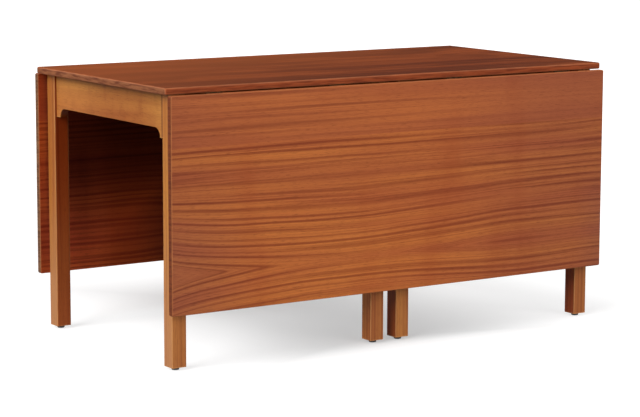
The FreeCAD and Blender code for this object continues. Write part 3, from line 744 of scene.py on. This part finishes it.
# painted light from the left, rising towards the back left corner
painted_light = top.rise(top.x * TOP_LIGHT_SLOPE[0] - top.y * TOP_LIGHT_SLOPE[1], *TOP_LIGHT_STEP)
colour = top.blend(top.rise(smoke, *SMOKE_STEP) * SMOKE_SHARE, colour, TOP_SMOKE)
colour = top.blend(painted_light * TOP_LIGHT_SHARE, colour, TOP_PAINTED_LIGHT)
long_edge = outer_face(top, abs(top.y), TOP_HIGH[1])
end_edge = outer_face(top, abs(top.x), TOP_HIGH[0])
colour = top.blend(long_edge * TOP_EDGE_SHARE, colour, edge_wood(top, *TOP_FRONT_EDGE))
colour = top.blend(end_edge * TOP_EDGE_SHARE, colour, edge_wood(top, *TOP_END_EDGE))
wear_and_highlight, colour = rub_and_highlight(top, colour, near_arris(top, TOP_LOW, TOP_HIGH, TOP_ARRIS), TOP_WORN_HIGHLIGHT, TOP_WEAR_AND_HIGHLIGHT)
oil(top, colour, fibres, relief, wear_and_highlight, TOP_SHEEN)
dress(top, "top_board", *[f"top_{side}_lipping" for side in ("front", "back", "left", "right")])

# %% [markdown]
# ## The legs
#
# The legs are square and straight-grained, cut from paler and more golden stock
# than the veneer, with fine lines from top to bottom. Rings that are flat sheets,
# tilted so that both faces cut through them, give such lines. All four corner legs
# share one finish: the noise is read at each leg's own place, so that no two legs
# show the same lines. As on the leaves, faces that look into the table are redder,
# as wood kept from daylight is, and carry painted shade, deepest near the top. The
# end face of a corner leg has a painted sheen of the white floor near the foot.

# %% Tones of the legs
LEG_TONES = (screen(186, 120, 62), screen(168, 98, 52), screen(136, 70, 38), screen(104, 52, 30))
# the paler arris colour is partly wear and partly a painted highlight, also on the aprons
LEG_WORN_HIGHLIGHT = screen(206, 152, 96)
# a painted reflection of the white floor on the end face, near the foot
LEG_FLOOR_SHEEN = screen(174, 130, 92)
# these multiply the tones
LEG_GOLDEN = (1.02, 1.06, 0.70, 1.0)
# the next three are painted shade: red of wood kept from daylight with shade, shade near the top, and shade
# on faces toward the middle
LEG_UNFADED_AND_SHADED = (0.92, 0.58, 0.42, 1.0)
LEG_DEEP_SHADE = (0.72, 0.32, 0.16, 1.0)
LEG_MIDDLE_SHADE = (0.72, 0.66, 0.64, 1.0)
print("leg from", [round(c, 2) for c in LEG_TONES[0][:3]], "to", [round(c, 2) for c in LEG_TONES[2][:3]])

# %% Straight golden wood for the legs
LEG_GROWTH = 1.8
LEG_TILT = (0.8, 0.7)
LEG_WANDER = 0.012
LEG_WANDER_WAVES = (9.0, 1.5)
LEG_SKIN = (0.0005, 0.002)
LEG_DEEP_HEIGHTS = (0.1, 0.6)
LEG_FOOT = (0.03, 0.45)
LEG_ARRIS = 0.004
LEG_WEAR_AND_HIGHLIGHT = 0.6
LEG_SHEEN = 0.25


def inward_face(finish, place, limit):
    """1 on the face of a leg that looks towards the middle of the table."""
    near, far = LEG_SKIN
    return 1.0 - finish.rise(place, limit + near, limit + far)


def leg_wood(name, sample, seed, floor_sheen):
    """Rings as flat sheets along z, tilted between the two faces, wandering a few millimetres.

    The two faces that look into the table, at the low limits of |x| and |y|, are redder and carry
    painted shade, darker near the top, and the one that looks at the middle a further painted shade.
    The face that looks out at the end is golden, with a painted sheen of the floor near the foot,
    as much as the last argument says.
    """
    finish = Finish(name)
    low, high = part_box(sample)
    quick, slow = LEG_WANDER_WAVES
    wander = finish.noise(finish.x * quick, finish.y * quick, finish.z * slow)
    rings = finish.x * LEG_TILT[0] + finish.y * LEG_TILT[1] + wander * LEG_WANDER
    colour, fibres, relief = sawn(finish, finish.z, rings, finish.x, finish.y, LEG_TONES, seed, LEG_GROWTH)
    toward_middle = inward_face(finish, abs(finish.x), low.x)
    inward = finish.most(toward_middle, inward_face(finish, abs(finish.y), low.y))
    unfaded_and_shaded = finish.blend(finish.rise(finish.z, *LEG_DEEP_HEIGHTS), LEG_UNFADED_AND_SHADED, LEG_DEEP_SHADE)
    outward = outer_face(finish, abs(finish.x), high.x)
    above_foot = finish.rise(finish.z, *LEG_FOOT)
    colour = finish.tint(outward * above_foot, colour, LEG_GOLDEN)
    # painted reflection of the white floor near the foot of the end face
    colour = finish.blend(outward * (1.0 - above_foot) * floor_sheen, colour, LEG_FLOOR_SHEEN)
    # painted shade on the faces that look into the table, and more on those that look at the middle
    colour = finish.tint(inward, colour, unfaded_and_shaded)
    colour = finish.tint(toward_middle, colour, LEG_MIDDLE_SHADE)
    wear_and_highlight, colour = rub_and_highlight(finish, colour, near_arris(finish, low, high, LEG_ARRIS), LEG_WORN_HIGHLIGHT, LEG_WEAR_AND_HIGHLIGHT)
    return oil(finish, colour, fibres, relief, wear_and_highlight, LEG_SHEEN)


CORNERS = [f"{side}_{end}" for side in ("front", "back") for end in ("left", "right")]
dress(leg_wood("corner_leg_wood", "back_right_leg", seed=200.0, floor_sheen=0.4),
      *[f"{corner}_leg" for corner in CORNERS])
dress(leg_wood("gate_leg_wood", "back_right_gate_leg", seed=210.0, floor_sheen=0.0),
      *[f"{corner}_gate_leg" for corner in CORNERS])

# %% [markdown]
# ## The end aprons
#
# The aprons are of the same golden wood as the legs, with the grain running from
# leg to leg, and a redder stretch near the middle. A faint curl crosses the grain,
# as it does in wood that grew under strain. A painted shadow darkens the corner
# beside each leg, and painted shade darkens the inner face. Masks by place give all
# of these, as on the leaves.

# %% Tones and figure of the aprons
APRON_TONES = (screen(200, 139, 66), screen(182, 112, 53), screen(142, 78, 37), screen(104, 54, 27))
# painted shadow in the corner where the apron meets each leg
APRON_JOINT_SHADOW = screen(92, 40, 16)
# these multiply the tones
APRON_RED = (0.70, 0.56, 0.54, 1.0)
# painted shade on the inner face of the apron
APRON_INNER_SHADE = (0.34, 0.18, 0.14, 1.0)
APRON_SEED = 220.0
APRON_GROWTH = 0.9
APRON_STREAKS = 0.4
APRON_TILT = (0.6, 0.8)
APRON_WANDER = 0.03
APRON_WANDER_WAVES = (2.0, 10.0)
CURL_WAVES = (26.0, 12.0)
CURL_STEP = (0.48, 0.72)
CURL_SHARE = 0.3
APRON_RED_MIDDLE = -0.09
APRON_RED_REACH = (0.06, 0.32)
FRONT_JOINT_SHADOW = (0.018, 0.010)
BACK_JOINT_SHADOW = (0.004, 0.0)
JOINT_SHADOW_SHARE = 0.8
APRON_SKIN = (0.003, 0.001)
APRON_ARRIS = 0.003
APRON_WEAR_AND_HIGHLIGHT = 0.5
APRON_SHEEN = 0.18
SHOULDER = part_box("back_right_leg")[0].y
print("the aprons meet the legs at y =", round(SHOULDER, 4), "m")

# %% Dress the aprons
apron = Finish("apron_wood")
apron_low, apron_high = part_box("right_apron")
wander = grain(apron, APRON_WANDER_WAVES, apron.y, apron.z, apron.x * APRON_WANDER_WAVES[0])
rings = apron.z * APRON_TILT[0] + apron.x * APRON_TILT[1] + wander * APRON_WANDER
colour, fibres, relief = sawn(apron, apron.y, rings, apron.z, apron.x, APRON_TONES,
                              APRON_SEED, APRON_GROWTH, APRON_STREAKS)
curl = grain(apron, CURL_WAVES, apron.y, apron.z, apron.x * CURL_WAVES[1])
colour = apron.blend(apron.rise(curl, *CURL_STEP) * CURL_SHARE, colour, APRON_TONES[2])
redder = 1.0 - apron.rise(abs(apron.y - APRON_RED_MIDDLE), *APRON_RED_REACH)
colour = apron.tint(redder, colour, APRON_RED)
# a painted shadow line where the apron meets each leg, wider on the front side
front_corner = apron.rise(0.0 - apron.y, SHOULDER - FRONT_JOINT_SHADOW[0], SHOULDER - FRONT_JOINT_SHADOW[1])
back_corner = apron.rise(apron.y, SHOULDER - BACK_JOINT_SHADOW[0], SHOULDER - BACK_JOINT_SHADOW[1])
colour = apron.blend(apron.most(back_corner, front_corner) * JOINT_SHADOW_SHARE, colour, APRON_JOINT_SHADOW)
# painted shade on the inner face
inside = 1.0 - apron.rise(abs(apron.x), apron_high.x - APRON_SKIN[0], apron_high.x - APRON_SKIN[1])
colour = apron.tint(inside, colour, APRON_INNER_SHADE)
arris = near_arris(apron, (apron_low.x, OPEN_SIDE, apron_low.z), apron_high, APRON_ARRIS)
wear_and_highlight, colour = rub_and_highlight(apron, colour, arris, LEG_WORN_HIGHLIGHT, APRON_WEAR_AND_HIGHLIGHT)
oil(apron, colour, fibres, relief, wear_and_highlight, APRON_SHEEN)
dress(apron, "left_apron", "right_apron")

# %% [markdown]
# ## The frame behind the leaves
#
# The side rails, the cross rail, the blocks and the gate rails are plainer wood
# that is seldom seen or touched. They get straight grain along their length, less
# oil and no rubbed or highlit edges. One function serves them all, given the axis
# that the grain runs along.

# %% Dress the frame
FRAME_TONES = (screen(164, 106, 64), screen(148, 92, 56), screen(122, 70, 42), screen(92, 50, 30))
FRAME_TILT = (0.9, 0.6)
FRAME_GROWTH = 1.2
FRAME_STREAKS = 0.6
FRAME_SHEEN = 0.05


def frame_wood(name, axes, seed):
    """Straight plain wood; axes names the ways along the grain, across it and through it."""
    finish = Finish(name)
    along, across, through = [getattr(finish, axis) for axis in axes]
    rings = across * FRAME_TILT[0] + through * FRAME_TILT[1]
    colour, fibres, relief = sawn(finish, along, rings, across, through, FRAME_TONES,
                                  seed, FRAME_GROWTH, FRAME_STREAKS)
    return oil(finish, colour, fibres, relief, wear_and_highlight=0.0, sheen=FRAME_SHEEN)


dress(frame_wood("rail_wood", "xzy", seed=240.0), "front_side_rail", "back_side_rail",
      *[f"{corner}_gate_rail" for corner in CORNERS], *[f"{corner}_gate_block" for corner in CORNERS])
dress(frame_wood("cross_rail_wood", "yzx", seed=250.0), "cross_rail", "corner_blocks")

# %% [markdown]
# ## Hinges, screws and pins
#
# Brass hinges in a table of this age are dull and brown in the recesses. The hinge
# brass is also painted dark all over, as painted shade for the slot between top and
# leaf where the knuckles sit. The tarnish is a soft noise that darkens the metal and
# roughens it, and fine marks along the flap stand for the rolling of the sheet. The
# screws are the same metal with brighter heads. The gate pins and the long screws
# that hold the top are plain steel.

# %% Brass and steel
TARNISH_WAVES = 60.0
TARNISH_DETAIL = 4.0
TARNISH_STEP = (0.4, 0.65)
TARNISH_SHARE = 0.7
TARNISH_ROUGH = 0.2
MARK_WAVES = 40.0
MARK_ROUGH = 0.08
MARK_STRENGTH = 0.15
MARK_DEPTH = 0.0001


def metal(name, bright, dull, rough, lines):
    """Metal with tarnish: soft noise mixes the dull colour in and raises the roughness.

    The marks are noise with lines waves per metre across the length of the table.
    """
    finish = Finish(name)
    tarnish = finish.rise(finish.speckle(TARNISH_WAVES, TARNISH_DETAIL), *TARNISH_STEP)
    marks = grain(finish, (MARK_WAVES, lines), finish.x, finish.y, finish.z * lines)
    return finish.polish(Base_Color=finish.blend(tarnish * TARNISH_SHARE, bright, dull), Metallic=1.0,
                         Roughness=rough + tarnish * TARNISH_ROUGH + marks * MARK_ROUGH,
                         Normal=finish.bump(marks, MARK_STRENGTH, MARK_DEPTH))


HINGE_PIECES = ("top_flaps", "leaf_flaps", "hinge_pins")
SCREW_SETS = ("top_flap_screws", "leaf_flap_screws")
dress(metal("hinge_brass", screen(66, 48, 30), screen(34, 26, 18), rough=0.52, lines=900.0),
      *[f"{side}_{piece}" for side in ("front", "back") for piece in HINGE_PIECES])
dress(metal("screw_brass", screen(140, 106, 60), screen(76, 56, 34), rough=0.36, lines=400.0),
      *[f"{side}_{screws}" for side in ("front", "back") for screws in SCREW_SETS])
dress(metal("pin_steel", screen(176, 178, 182), screen(120, 116, 110), rough=0.28, lines=600.0),
      "top_screws", *[f"{corner}_gate_pin" for corner in CORNERS])

# %% [markdown]
# ## The glides
#
# A glide is a black plastic button nailed under a leg, with the fine grit of its
# mould. The floor scuffs the lowest few millimetres grey. One noise gives the grit,
# and a mask by height lets it show as scuffs only near the floor.

# %% Black plastic
GLIDE_BLACK = screen(26, 25, 25)
GLIDE_SCUFFED = screen(96, 92, 88)
GRIT_WAVES = 700.0
GRIT_STEP = (0.4, 0.7)
GRIT_STRENGTH = 0.2
GRIT_DEPTH = 0.0002
GRIT_ROUGH = 0.2
GLIDE_ROUGH = 0.42
SCUFF_HEIGHT = 0.004

glide = Finish("glide_plastic")
grit = glide.speckle(GRIT_WAVES)
scuff = (1.0 - glide.rise(glide.z, 0.0, SCUFF_HEIGHT)) * glide.rise(grit, *GRIT_STEP)
glide.polish(Base_Color=glide.blend(scuff, GLIDE_BLACK, GLIDE_SCUFFED),
             Roughness=GLIDE_ROUGH + grit * GRIT_ROUGH, Normal=glide.bump(grit, GRIT_STRENGTH, GRIT_DEPTH))
dress(glide, "corner_glides", *[f"{corner}_gate_glide" for corner in CORNERS])

# %% [markdown]
